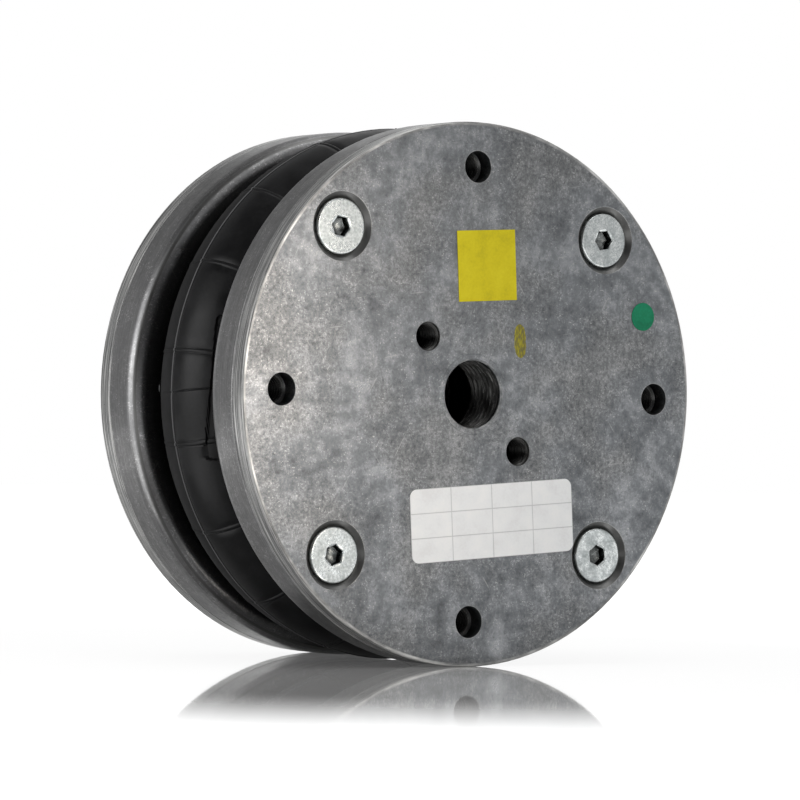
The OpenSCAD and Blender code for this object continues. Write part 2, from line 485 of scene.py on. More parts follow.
@dataclass(frozen=True)
class CastAluminium(Finish):
    """Raw die-cast aluminium, as it leaves the die and the trim press.

    The eye sees grey blotches a centimetre or two wide, some of them warmer, a millimetre grain with
    bright flecks, a few fine scratches, a rim scored round by the trim tool, and edges painted bright,
    partly as wear and partly as a painted highlight. Holes, joints and countersinks get painted shade.
    """

    blotch: float = 15.0
    stain: float = 25.5
    patch: float = 4.0
    grain: float = 1.2
    speck: float = 0.55
    scratch: float = 0.7
    scratch_run: float = 14.0
    scratch_turns: tuple[float, ...] = (0.5, 1.4, 2.5)
    score: float = 0.5
    score_run: float = 60.0
    edge_round: float = 0.3
    # Reach in millimetres of the painted shade in holes and joints
    shade_reach: float = 8.0
    relief: float = 0.05
    rim_r: float = SIZES.flange_r
    rim_band: tuple[float, float] = (1.1, 0.8)
    port_r: float = SIZES.port_r + 0.5 * MM
    # Edges are painted bright, as wear and painted highlight, only beyond this radius
    lightened_from: float = 0.03
    slope_slack: float = 0.08
    patch_share: float = 0.45
    grain_share: float = 0.6
    score_share: float = 0.85
    mark_share: float = 1.0
    sink_spared: float = 1.0
    worn_rise: Rise = (0.42, 0.56, 1.0)
    warm_rise: Rise = (0.46, 0.62, 0.25)
    fleck_rise: Rise = (0.6, 0.72, 0.4)
    speck_rise: Rise = (0.57, 0.7, 0.9)
    cluster_rise: Rise = (0.44, 0.6, 1.0)
    pit_rise: Rise = (0.4, 0.3, 0.65)
    scratch_rise: Rise = (0.73, 0.77, 0.3)
    land_rise: Rise = (0.44, 0.64, 0.6)
    # Where edges are painted bright, as wear and painted highlight
    wear_and_highlight_rise: Rise = (0.995, 0.94, 0.8)
    uneven_rise: Rise = (0.35, 0.55, 1.0)
    # Where the painted shade comes up, by how much sky a place sees
    shade_rise: Rise = (0.75, 0.35, 1.0)
    gloss_rise: Rise = (0.35, 0.68, 1.0)
    scored: tuple[str, str, str] = ("#5f5f5f", "#979796", "#dfdedc")
    warm: str = "#efe5d6"
    edge: str = "#c6c6c4"
    # Colour of the painted shade in holes and joints
    painted_shade: str = "#2a2a29"
    # Colour of the painted shade on the countersinks
    sink_shade: str = "#676766"

    def marks(self, graph: Graph, place: Socket, grain: Socket, patch: Socket) -> Socket:
        """Adds flecks where the grain stands highest, specks in clusters, and scratches.

        A scratch is where a noise that is stretched along a line stands highest.

        Args:
            graph: Tree of the material.
            place: Object coordinates.
            grain: Noise of the grain.
            patch: Noise that gathers the specks.

        Returns:
            How bright a mark is at a place, from 0 to 1.
        """
        add = graph.add
        fleck = add("MapRange", rising(grain, self.fleck_rise))
        dots = add("TexNoise", grains(place, self.speck, 2.0, 0.6))
        speck = add("MapRange", rising(dots, self.speck_rise))
        cluster = add("MapRange", rising(patch, self.cluster_rise))
        specks = add("Math", {0: speck, 1: cluster}, operation="MULTIPLY")
        marks = add("Math", {0: fleck, 1: specks}, operation="MAXIMUM")
        for turn in self.scratch_turns:
            line_up = {"Vector": place, "Rotation": (0, turn, 0), "Scale": (1, 1, self.scratch_run)}
            along = add("Mapping", line_up, vector_type="TEXTURE")
            line = add("TexNoise", grains(along, self.scratch, 1.0))
            scratch = add("MapRange", rising(line, self.scratch_rise))
            marks = add("Math", {0: marks, 1: scratch}, operation="MAXIMUM")
        return add("Math", {0: marks, 1: self.mark_share}, operation="MULTIPLY")

    def paint(self, graph: Graph, shader: bpy.types.Node) -> None:
        """Mixes three noises into the tone, and lays pits, marks, scores, edges painted bright and painted
        shade over it.

        Args:
            graph: Tree of the material.
            shader: Shader of the material.
        """
        add = graph.add
        place = add("TexCoord", out="Object")
        blotch = add("TexNoise", grains(place, self.blotch, 3.0))
        patch = add("TexNoise", grains(place, self.patch, 4.0))
        grain = add("TexNoise", {**grains(place, self.grain, 5.0, 0.8), "Distortion": 0.2})
        stain = add("TexNoise", grains(place, self.stain, 2.0))
        worn = add("MapRange", rising(stain, self.worn_rise, low=0.45))
        body = add("Mix", {0: self.patch_share, 2: blotch, 3: patch})
        share = add("Math", {0: worn, 1: self.grain_share}, operation="MULTIPLY")
        tone = add("Mix", {0: share, 2: body, 3: grain})
        colour = add("ValToRGB", {0: tone}, stops=self.tones(0.36, 0.5, 0.64))
        warmth = add("MapRange", rising(stain, self.warm_rise))
        stained = {0: warmth, 6: colour, 7: linear(self.warm)}
        colour = add("Mix", stained, out=2, data_type="RGBA", blend_type="MULTIPLY")
        pit = add("MapRange", rising(grain, self.pit_rise))

        # Scores round the rim: noise over the axis and the arc, drawn out along the arc
        parts = {axis: add("SeparateXYZ", {0: place}, out=axis) for axis in "XYZ"}
        radial = add("CombineXYZ", {0: parts["X"], 2: parts["Z"]})
        radius = add("VectorMath", {0: radial}, out="Value", operation="LENGTH")
        inner, outer = (self.rim_r - depth * MM for depth in self.rim_band)
        at_rim = add("MapRange", rising(radius, (inner, outer, 1.0)))
        on_rim = add("Math", {0: at_rim, 1: self.score_share}, operation="MULTIPLY")
        angle = add("Math", {0: parts["X"], 1: parts["Z"]}, operation="ARCTAN2")
        arc = add("Math", {0: angle, 1: self.rim_r / self.score_run}, operation="MULTIPLY")
        rim_place = add("CombineXYZ", {0: arc, 1: parts["Y"]})
        score = add("TexNoise", grains(rim_place, self.score, 4.0, 0.7))
        scores = add("ValToRGB", {0: score}, stops=list(zip((0.4, 0.5, 0.62), self.scored)))
        height = add("Mix", {0: on_rim, 2: tone, 3: score})

        # Chamfers of the rim and of the port, rougher than the rest and painted bright: partly worn metal,
        # partly a painted highlight
        true = add("NewGeometry", out="Normal")
        lean = add("Math", {0: add("SeparateXYZ", {0: true}, out="Y")}, operation="ABSOLUTE")
        sloped = add("Math", {0: lean, 1: math.sqrt(0.5), 2: self.slope_slack}, operation="COMPARE")
        at_port = add("Math", {0: radius, 1: self.port_r}, operation="LESS_THAN")
        at_edge = add("Math", {0: at_rim, 1: at_port}, operation="MAXIMUM")
        land = add("Math", {0: sloped, 1: at_edge}, operation="MULTIPLY")
        speckled = add("MapRange", rising(score, self.land_rise))
        land_wear_and_highlight = add("Math", {0: land, 1: speckled}, operation="MULTIPLY")

        # All other slopes are countersinks, painted darker as shade
        sink = add("Math", {0: sloped, 1: at_edge}, operation="SUBTRACT", use_clamp=True)

        # Edges painted bright where the rounded normal leaves the true one: partly wear, partly a painted
        # highlight
        rounded = add("Bevel", {"Radius": self.edge_round * MM}, samples=4)
        facing = add("VectorMath", {0: rounded, 1: true}, out="Value", operation="DOT_PRODUCT")
        lightened = add("MapRange", rising(facing, self.wear_and_highlight_rise))
        uneven = add("MapRange", rising(patch, self.uneven_rise))
        outside = add("Math", {0: radius, 1: self.lightened_from}, operation="GREATER_THAN")
        for share in (uneven, outside):
            lightened = add("Math", {0: lightened, 1: share}, operation="MULTIPLY")

        # Painted shade that darkens the holes and joints, by how much of the sky a place sees
        open_sky = add("AmbientOcclusion", {"Distance": self.shade_reach * MM}, out="AO", samples=6)
        shade_mask = add("MapRange", rising(open_sky, self.shade_rise))
        spared = add("Math", {0: sink, 1: self.sink_spared, 2: at_rim}, operation="MULTIPLY_ADD")
        inside = add("Math", {0: 1.0, 1: spared}, operation="SUBTRACT")
        shade_mask = add("Math", {0: shade_mask, 1: inside}, operation="MULTIPLY")

        coats = [
            (pit, self.dark),
            (self.marks(graph, place, grain, patch), self.edge),
            (on_rim, scores),
            (land_wear_and_highlight, self.edge),
            (sink, self.sink_shade),
            (lightened, self.edge),
            (shade_mask, self.painted_shade),
        ]
        gloss = add("MapRange", rising(tone, self.gloss_rise, low=0.5))
        gloss = add("Math", {0: gloss, 1: land}, operation="SUBTRACT")
        self.plug(graph, shader, self.laid(graph, colour, coats), gloss, height, rounded)


@dataclass(frozen=True)
class ZincPlate(Finish):
    """Bright zinc plate on steel screws, handled and a little dulled.

    The eye sees a pale, faintly blue metal with cloudy patches and fine pits, and sockets painted dark as
    shade.
    """

    cloud: float = 3.0
    pit: float = 0.7
    pit_share: float = 0.45
    relief: float = 0.04
    # Painted shade in the sockets: its colour, reach and rise
    painted_shade: str = "#1b1d1b"
    shade_reach: float = 6.0
    shade_rise: Rise = (0.75, 0.4, 0.92)
    gloss_rise: Rise = (0.35, 0.65, 1.0)
    axis_at: float = SIZES.bolt_r * math.sqrt(0.5)
    socket_r: float = 0.0036

    def paint(self, graph: Graph, shader: bpy.types.Node) -> None:
        """Mixes cloudy patches with fine pits, and paints shade into the sockets.

        Args:
            graph: Tree of the material.
            shader: Shader of the material.
        """
        add = graph.add
        place = add("TexCoord", out="Object")
        cloud = add("TexNoise", grains(place, self.cloud, 4.0))
        pit = add("TexNoise", grains(place, self.pit, 3.0))
        tone = add("Mix", {0: self.pit_share, 2: cloud, 3: pit})
        colour = add("ValToRGB", {0: tone}, stops=self.tones(0.36, 0.5, 0.62))

        # Painted shade in the sockets: a socket is what sees little sky close to a screw's axis, with the
        # four axes folded onto one
        open_sky = add("AmbientOcclusion", {"Distance": self.shade_reach * MM}, out="AO", samples=6)
        shade_mask = add("MapRange", rising(open_sky, self.shade_rise))
        flat = add("VectorMath", {0: place, 1: (1, 0, 1)}, operation="MULTIPLY")
        folded = add("VectorMath", {0: flat}, operation="ABSOLUTE")
        axis = (self.axis_at, 0, self.axis_at)
        away = add("VectorMath", {0: folded, 1: axis}, out="Value", operation="DISTANCE")
        in_socket = add("Math", {0: away, 1: self.socket_r}, operation="LESS_THAN")
        shade_mask = add("Math", {0: shade_mask, 1: in_socket}, operation="MULTIPLY")
        gloss = add("MapRange", rising(cloud, self.gloss_rise))
        self.plug(graph, shader, self.laid(graph, colour, [(shade_mask, self.painted_shade)]), gloss, tone)


@dataclass(frozen=True)
class MouldedRubber(Finish):
    """Black chloroprene rubber from a two-part mould.

    The eye sees a satin black skin with a fine orange peel, a bloom of pale dust and, along the
    mould line at the middle of the bulge, a thin crest painted grey. The half beyond the line is duller.
    """

    bloom: float = 9.0
    peel: float = 0.8
    peel_share: float = 0.25
    relief: float = 0.02
    line_y: float = 0.0373
    crest_rise: Rise = (0.3 * MM, 0.1 * MM, 0.8)
    near_rise: Rise = (0.5 * MM, -0.5 * MM, 1.0)
    gloss_rise: Rise = (0.65, 0.35, 1.0)
    # Grey painted along the crest of the mould line
    lightened: str = "#606061"

    def paint(self, graph: Graph, shader: bpy.types.Node) -> None:
        """Mixes the bloom with the peel, greys the mould line's crest and dulls the half beyond it.

        Args:
            graph: Tree of the material.
            shader: Shader of the material.
        """
        add = graph.add
        place = add("TexCoord", out="Object")
        bloom = add("TexNoise", grains(place, self.bloom, 5.0, 0.6))
        peel = add("TexNoise", grains(place, self.peel, 2.0))
        tone = add("Mix", {0: self.peel_share, 2: bloom, 3: peel})
        colour = add("ValToRGB", {0: tone}, stops=self.tones(0.35, 0.5, 0.7))
        along = add("SeparateXYZ", {0: place}, out="Y")
        off = add("Math", {0: along, 1: self.line_y}, operation="SUBTRACT")
        apart = add("Math", {0: off}, operation="ABSOLUTE")
        crest = add("MapRange", rising(apart, self.crest_rise))
        gloss = add("MapRange", rising(bloom, self.gloss_rise, low=0.65))
        near = add("MapRange", rising(off, self.near_rise))
        gloss = add("Math", {0: gloss, 1: near}, operation="MULTIPLY")
        self.plug(graph, shader, self.laid(graph, colour, [(crest, self.lightened)]), gloss, peel)


@dataclass(frozen=True)
class CordFabric(Finish):
    """Rubberised tyre cord, a warp of parallel cords in a thin skim of rubber.

    The eye sees tan cords about two millimetres apart, with dark rubber between them. Real cords
    stand closer, and these are drawn coarser so that they show.
    """

    cord: float = 2.18
    lean: float = 0.8
    relief: float = 0.15
    wave_at_one: float = math.pi / 10

    def paint(self, graph: Graph, shader: bpy.types.Node) -> None:
        """Lays a wave across the cords, which lean to one side, scaled by its length at scale 1.

        Args:
            graph: Tree of the material.
            shader: Shader of the material.
        """
        add = graph.add
        place = add("TexCoord", out="Object")
        leaning = add("Mapping", {"Vector": place, "Rotation": (self.lean, 0, self.lean)})
        waves = {"Vector": leaning, "Scale": per_mm(self.cord) * self.wave_at_one, "Distortion": 0.4}
        cord = add("TexWave", waves, out=1)
        colour = add("ValToRGB", {0: cord}, stops=self.tones(0.2, 0.5, 0.9))
        self.plug(graph, shader, colour, cord, cord)


@dataclass(frozen=True)
class DrawnWire(Finish):
    """Bronze-coated steel bead wire, drawn through a die.

    The eye sees fine lines that run round with the wire.
    """

    line: float = 0.3

    def paint(self, graph: Graph, shader: bpy.types.Node) -> None:
        """Draws the lines as noise over the axis, which is the same all the way round.

        Args:
            graph: Tree of the material.
            shader: Shader of the material.
        """
        add = graph.add
        along = add("SeparateXYZ", {0: add("TexCoord", out="Object")}, out="Y")
        line = add("TexNoise", grains(add("CombineXYZ", {1: along}), self.line, 2.0))
        colour = add("ValToRGB", {0: line}, stops=self.tones(0.35, 0.5, 0.65))
        self.plug(graph, shader, colour, line, line)


class Ruling(Enum):
    """What is printed on a label, by the strength of its ink: nothing, or the boxes of a form."""

    PLAIN = 0.0
    BOXES = 0.35


@dataclass(frozen=True)
class PrintedFilm(Finish):
    """Self-adhesive polyester film, printed and varnished.

    The eye sees an even colour with a slight orange peel, handled corners and, on the white
    label, the thin grey rules of an empty form.
    """

    handled: float = 6.0
    peel: float = 0.7
    peel_share: float = 0.3
    centre: tuple[float, float] = (0.0, 0.0)
    size: tuple[float, float] = (0.02, 0.02)
    turn: float = 0.0
    ruling: Ruling = Ruling.PLAIN
    columns: int = 4
    rows: int = 3
    rule_w: float = 0.16
    rule: str = "#6b6c6e"

    def rules(self, graph: Graph, place: Socket) -> Socket:
        """Draws the rules as the mortar of a brick pattern that is turned with the label.

        Args:
            graph: Tree of the material.
            place: Object coordinates.

        Returns:
            How much ink a place has.
        """
        add = graph.add
        across, up = self.centre
        width, height = self.size
        turned = Matrix.Rotation(-self.turn, 3, "Y") @ Vector((-width / 2, 0, -height / 2))
        corner = turned + Vector((across, 0, up))
        level = {"Vector": place, "Location": corner, "Rotation": (0, -self.turn, 0)}
        flat = add("Mapping", level, vector_type="TEXTURE")
        parts = {axis: add("SeparateXYZ", {0: flat}, out=axis) for axis in "XZ"}
        bricks = {
            "Vector": add("CombineXYZ", {0: parts["X"], 1: parts["Z"]}),
            "Scale": 1.0,
            "Mortar Size": self.rule_w * MM,
            "Mortar Smooth": 0.2,
            "Brick Width": width / self.columns,
            "Row Height": height / self.rows,
        }
        rules = add("TexBrick", bricks, out="Fac", offset=0.0)
        return add("Math", {0: rules, 1: self.ruling.value}, operation="MULTIPLY")

    def paint(self, graph: Graph, shader: bpy.types.Node) -> None:
        """Mixes the marks of handling with the peel, and prints the rules if there are any.

        Args:
            graph: Tree of the material.
            shader: Shader of the material.
        """
        add = graph.add
        place = add("TexCoord", out="Object")
        handled = add("TexNoise", grains(place, self.handled, 5.0))
        peel = add("TexNoise", grains(place, self.peel, 2.0))
        tone = add("Mix", {0: self.peel_share, 2: handled, 3: peel})
        colour = add("ValToRGB", {0: tone}, stops=self.tones(0.35, 0.48, 0.65))
        if self.ruling is Ruling.BOXES:
            colour = self.laid(graph, colour, [(self.rules(graph, place), self.rule)])
        self.plug(graph, shader, colour, handled, peel)


@dataclass(frozen=True)
class BrushedPaint(Finish):
    """Inspection lacquer put on with one stroke of a brush.

    The eye sees thin and thick streaks along the stroke, with the metal's grey under the thin ones.
    """

    streak: float = 0.45
    streak_run: float = 3.0
    lean: float = 0.12
    relief: float = 0.05

    def paint(self, graph: Graph, shader: bpy.types.Node) -> None:
        """Stretches noise along the stroke, which runs up.

        Args:
            graph: Tree of the material.
            shader: Shader of the material.
        """
        add = graph.add
        place = add("TexCoord", out="Object")
        line_up = {"Vector": place, "Rotation": (0, self.lean, 0), "Scale": (1, 1, self.streak_run)}
        stroke = add("Mapping", line_up, vector_type="TEXTURE")
        streak = add("TexNoise", grains(stroke, self.streak, 3.0))
        colour = add("ValToRGB", {0: streak}, stops=self.tones(0.36, 0.5, 0.62))
        self.plug(graph, shader, colour, streak, streak)


CAST_PLATE = CastAluminium(
    "die_cast_aluminium_plate", "#505255", "#7a7d80", "#a8aaad", metallic=0.9, roughness=(0.24, 0.62)
)
RING_CASTING = CastAluminium(
    "die_cast_aluminium_ring", "#6a6a6b", "#777778", "#858586", metallic=1.0, roughness=(0.26, 0.6),
    score_share=0.1, relief=0.025, warm="#f6f4ef", edge="#b4b4b3",
)
# Cut threads: their dark tones are painted shade for the inside of the tapped holes
CUT_THREAD = CastAluminium(
    "cut_thread_painted_shade", "#2b2b2a", "#40403f", "#5a5958", metallic=0.9, roughness=(0.28, 0.62),
    score_share=0.0, grain_share=0.3, mark_share=0.15, sink_shade="#5c5c5b", sink_spared=0.0,
)
ZINC_SCREW = ZincPlate(
    "zinc_plated_steel", "#9fa5a5", "#c2c7c7", "#e3e7e6", metallic=1.0, roughness=(0.20, 0.36)
)
RUBBER = MouldedRubber(
    "moulded_chloroprene", "#0a0a0b", "#0f0f10", "#19191a", roughness=(0.28, 0.68), ior=1.52, specular=0.16
)
LINER_RUBBER = MouldedRubber(
    "butyl_liner", "#171717", "#1f1f1f", "#2a2a2a", roughness=(0.4, 0.6), ior=1.52, specular=0.3
)
CORD_PLY = CordFabric("rubberised_cord_fabric", "#3a3226", "#8b7857", "#a9946c", roughness=(0.7, 0.9))
BEAD_WIRE = DrawnWire(
    "drawn_bead_wire", "#5a4f42", "#75695a", "#958a7a", metallic=1.0, roughness=(0.25, 0.4)
)
GREEN_PAPER = PrintedFilm(
    "green_paper_dot", "#0e7350", "#11815a", "#188d65", roughness=(0.5, 0.7), specular=0.2
)
PAINT = BrushedPaint(
    "yellow_inspection_lacquer", "#65603b", "#80792b", "#9b9322", roughness=(0.3, 0.5), specular=0.25
)


def dress(node: str, finish: Finish) -> bpy.types.Object:
    """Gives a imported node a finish.

    Args:
        node: Name of the node.
        finish: Finish that its only slot takes.

    Returns:
        The node's object.
    """
    piece = frame["nodes"][node]
    if not piece.material_slots:
        piece.data.materials.append(None)
    piece.material_slots[0].material = finish.material()
    return piece


def dressed(skin: Skin, name: str, finish: Finish, slot: str) -> bpy.types.Object:
    """Builds a new piece from a skin.

    Args:
        skin: Surface of the piece.
        name: Name of the piece.
        finish: Finish of the piece.
        slot: Slot of the record that the finish stands for; not used.

    Returns:
        The piece, which still has to ride on a body.
    """
    piece = skin.build(name)
    piece.data.materials.append(finish.material())
    return piece


# Metal parts


@dataclass
class EndCasting:
    """The plate, the bead ring and the bead wire of one end, which keep the shapes of the frame."""

    end: End

    def build(self) -> list[bpy.types.Object]:
        """Dresses the plate, the ring and the bead wire of this end."""
        finishes = {"plate": CAST_PLATE, "ring": RING_CASTING, "bead_wire": BEAD_WIRE}
        return [dress(self.end.node(piece), finish) for piece, finish in finishes.items()]


@dataclass
class TappedHoles:
    """Threads cut in a set of holes, each a closed sleeve inside the hole's plain bore.

    Where the bore has a wide mouth, a lip of the casting's own metal closes it to the thread.
    """

    name: str
    sizes: FrameSizes
    end: End
    places: Sequence[tuple[float, float]]
    major_r: float
    pitch: float
    start: float
    stop: float
    slot: str
    finish: Finish = CUT_THREAD
    mouth: float = 0.0
    lip_r: float = 0.0
    drilled: bool = False
    columns: int = 72
    rows_per_turn: int = 8
    bore_gap: float = 0.004 * MM
    root_wall: float = 0.02 * MM
    ridge_share: float = 0.54
    ridge_h: float = field(init=False)
    bore: float = field(init=False)
    mouth_r: float = field(init=False)

    def __post_init__(self) -> None:
        """Works out the ridge, a little less than a whole V, and the radius that it starts from."""
        self.ridge_h = self.ridge_share * self.pitch
        self.bore = self.major_r - self.bore_gap
        self.mouth_r = self.bore - self.root_wall - self.drilled * self.ridge_h

    def lip(self, at: tuple[float, float]) -> Skin:
        """Works out one lip, whose section fills the mouth's cone and leaves a smaller chamfer.

        Args:
            at: Place of the hole's axis along X and Z.

        Returns:
            The closed ring.
        """
        wide_r = self.bore + self.mouth
        chamfer = self.lip_r - self.mouth_r
        section = np.array([
            (self.lip_r, 0),
            (wide_r, 0),
            (self.bore, self.mouth),
            (self.bore, self.start),
            (self.mouth_r, self.start),
            (self.mouth_r, chamfer),
        ])
        depth = self.sizes.along(self.end, section[:, 1:])
        return Skin.round_axis(section[:, :1], depth, around(self.columns), at)

    def sleeve(self, at: tuple[float, float]) -> Skin:
        """Works out one sleeve.

        The bore side is a cylinder. On the thread side the radius falls from the bore by the
        ridge's height times a V wave of the depth in pitches less the angle in turns. Over half a
        pitch at both ends the ridge runs out to nothing or, in a drilled hole, to its full height.

        Args:
            at: Place of the hole's axis along X and Z.

        Returns:
            The closed sleeve.
        """
        steps = int((self.stop - self.start) / self.pitch * self.rows_per_turn)
        depth = np.linspace(self.start, self.stop, steps)[:, None]
        angle = around(self.columns)
        run_out = np.clip(np.minimum(depth - self.start, self.stop - depth) / (self.pitch / 2), 0, 1)
        wave = thread_ridge(depth / self.pitch - angle / (2 * np.pi))
        ridge = self.ridge_h * (run_out * wave + (1 - run_out) * self.drilled)
        inside = self.bore - self.root_wall - ridge
        outside = np.full((2, self.columns), self.bore)
        radius = np.concatenate([inside, outside])
        depths = np.concatenate([depth, [[self.stop], [self.start]]])
        return Skin.round_axis(radius, self.sizes.along(self.end, depths), angle, at)

    def build(self) -> list[bpy.types.Object]:
        """Makes one piece of all the sleeves, and one of the lips.

        Returns:
            The pieces, which ride on the end's body.
        """
        sleeves = joined([self.sleeve(at) for at in self.places])
        pieces = [dressed(sleeves, self.name, self.finish, self.slot)]
        if self.mouth:
            lips = joined([self.lip(at) for at in self.places])
            pieces.append(dressed(lips, self.name + "_lips", CAST_PLATE, self.slot))
        for piece in pieces:
            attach(piece, self.end.value)
        return pieces


@dataclass
class ClampScrews:
    """Countersunk hexagon-socket screws that clamp one end's plate to its bead ring."""

    sizes: FrameSizes
    end: End
    turns: Sequence[float]
    shank_r: float = 4 * MM
    pitch: float = 1.25 * MM
    thread_h: float = 0.6 * MM
    land: float = 1.2 * MM
    rim_r: float = 0.5 * MM
    socket_af: float = 5 * MM
    socket_depth: float = 3 * MM
    socket_chamfer: float = 0.45 * MM
    socket_flare: float = 0.6 * MM
    drill_point: float = 0.6 * MM
    floor_share: float = 0.8
    floor_rise: float = 0.3 * MM
    step: float = 0.1 * MM
    tip: float = 0.7 * MM
    columns: int = 96
    thread_rows: int = 90
    length: float = field(init=False)
    cone_end: float = field(init=False)

    def __post_init__(self) -> None:
        """Works out the length of a screw and the depth where its head's cone ends."""
        self.length = self.sizes.screw_end - self.sizes.head_top
        self.cone_end = self.land + self.sizes.head_r - self.shank_r

    def outline(self) -> tuple[Array, Array, Array]:
        """Section of a screw from the middle of its socket to the middle of its end.

        Returns:
            Radius, depth below the head's top, and the share by which a row is a hexagon.
        """
        head_r = self.sizes.head_r
        socket_r = self.socket_af / 2
        flare_r = socket_r + self.socket_flare
        bend = np.radians(np.linspace(90, 0, 7))
        rim_in = head_r - self.rim_r
        thread = np.linspace(self.cone_end + 2 * self.step, self.length - self.tip, self.thread_rows)
        socket = [
            (0, self.socket_depth + self.drill_point, 0),
            (self.floor_share * socket_r, self.socket_depth, 0),
            (socket_r, self.socket_depth - self.floor_rise, 1),
            (socket_r, self.socket_chamfer, 1),
            (socket_r + self.step, self.socket_chamfer / 2, 0.9),
            (flare_r, 0, 0),
            (flare_r + self.step, 0, 0),
            (rim_in - self.step, 0, 0),
        ]
        rim = [(rim_in + self.rim_r * math.cos(b), self.rim_r * (1 - math.sin(b)), 0) for b in bend]
        seat = [(head_r, self.land, 0), (self.shank_r, self.cone_end, 0)]
        shank = [(self.shank_r, at, 0) for at in thread]
        tip = [(self.shank_r - self.tip, self.length, 0), (0, self.length, 0)]
        rows = np.array(socket + rim + seat + shank + tip)
        return rows[:, :1], rows[:, 1:2], rows[:, 2:]

    def screw(self, at: tuple[float, float], turn: float) -> Skin:
        """Works out one screw.

        Each row is a circle, a hexagon or a mix of the two. A hexagon's radius is half its flats
        over the cosine of the angle from the middle of the nearest flat. On the shank the radius
        falls by the thread's height times a V wave of the depth in pitches less the turns.

        Args:
            at: Place of the screw's axis along X and Z.
            turn: Angle that the screw stopped at when it was tightened, in degrees.

        Returns:
            The closed screw.
        """
        radius, depth, hexagon = self.outline()
        angle = around(self.columns)
        from_flat = np.mod(angle, np.pi / 3) - np.pi / 6
        threaded = (depth > self.cone_end + 3 * self.step) & (depth < self.length - self.tip / 2)
        root = self.thread_h * (1 - thread_ridge(depth / self.pitch - angle / (2 * np.pi)))
        radius = radius * (1 + hexagon * (1 / np.cos(from_flat) - 1)) - threaded * root
        along = self.sizes.along(self.end, self.sizes.head_top + depth)
        return Skin.round_axis(radius, along, angle + math.radians(turn), at, loop=False)

    def build(self) -> list[bpy.types.Object]:
        """Makes one piece of this end's screws, which stands for their node.

        Returns:
            The piece, in a list.
        """
        apart = 360 / self.sizes.bolt_count
        places = on_circle(self.sizes.bolt_r, [apart * (at + 0.5) for at in range(self.sizes.bolt_count)])
        skin = joined([self.screw(at, turn) for at, turn in zip(places, self.turns)])
        piece = dressed(skin, self.end.node("clamp_screws"), ZINC_SCREW, "zinc_screw")
        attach(piece, self.end.value)
        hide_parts(self.end.node("screws"))
        return [piece]


# Bellows


